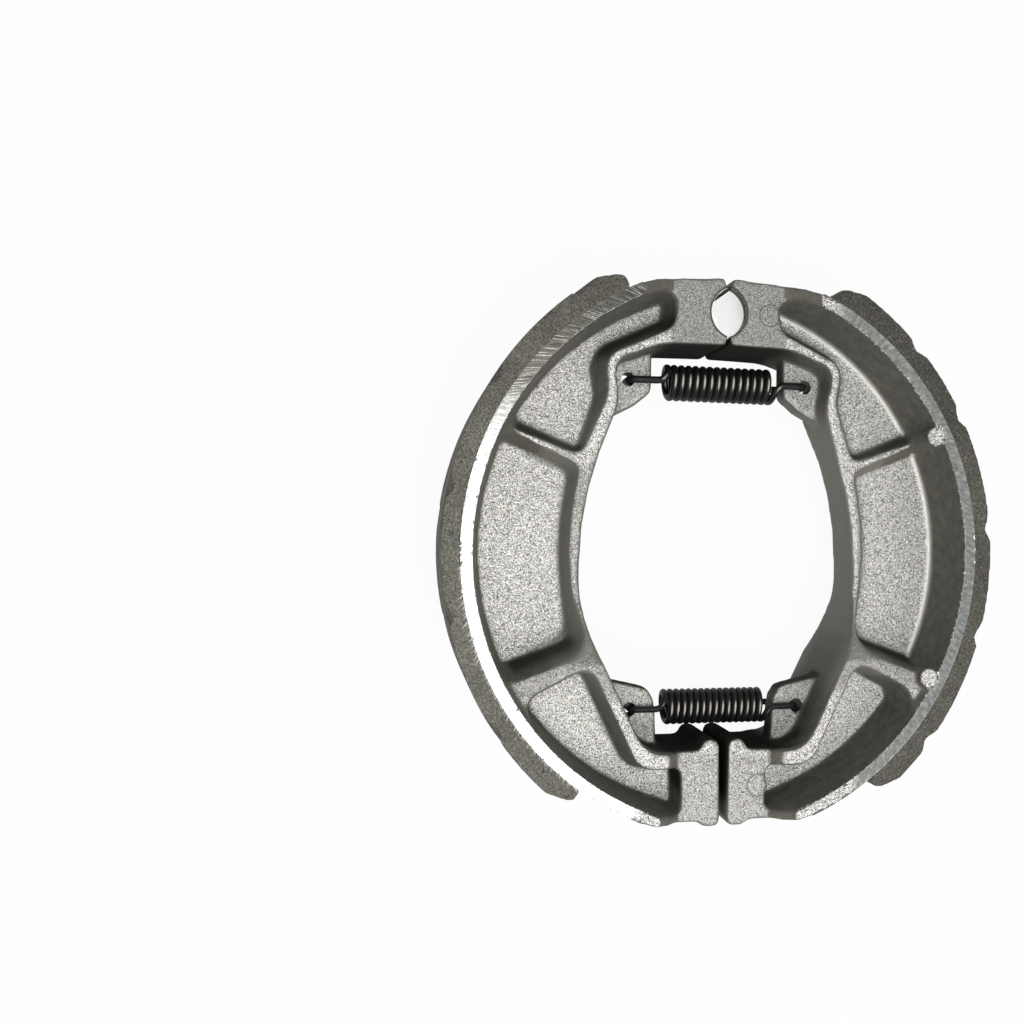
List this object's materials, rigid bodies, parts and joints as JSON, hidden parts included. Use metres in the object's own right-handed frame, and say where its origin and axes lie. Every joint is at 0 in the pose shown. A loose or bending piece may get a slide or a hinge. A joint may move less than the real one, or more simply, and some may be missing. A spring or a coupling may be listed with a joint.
{
  "type": "drum brake shoe pair",
  "caption": "Leading and trailing drum brake shoes: cast curved rims with bonded grooved linings, joined by black extension return springs.",
  "frame": {"origin": "on the drum's axis, midway along the pair, in the plane that the lower rim edges rest on", "axes": "+Z along the drum's axis and up as the pair lies flat, +Y towards the anchor pin end, +X towards the right shoe"},
  "size_m": [0.117, 0.1144, 0.03],
  "materials": {
    "casting": "grit-blasted die casting with machined rim edges",
    "friction_lining": "ground friction composite",
    "spring_steel": "black oil-hardened wire, glossy"
  },
  "bodies": {
    "left": {"left_shoe": "casting", "left_lining": "friction_lining", "upper_spring": "spring_steel", "lower_spring": "spring_steel"},
    "right": {"right_shoe": "casting", "right_lining": "friction_lining"}
  },
  "joints": [
    {"name": "shoe_spread", "type": "hinge", "parent": "left", "child": "right", "pos_m": [0, 0.05, 0.015], "axis": [0, 0, 1], "range_deg": [0, 3], "stiffness_Nm_per_rad": 6, "springref_deg": -4.58, "deforming": ["upper_spring", "lower_spring"]}
  ]
}
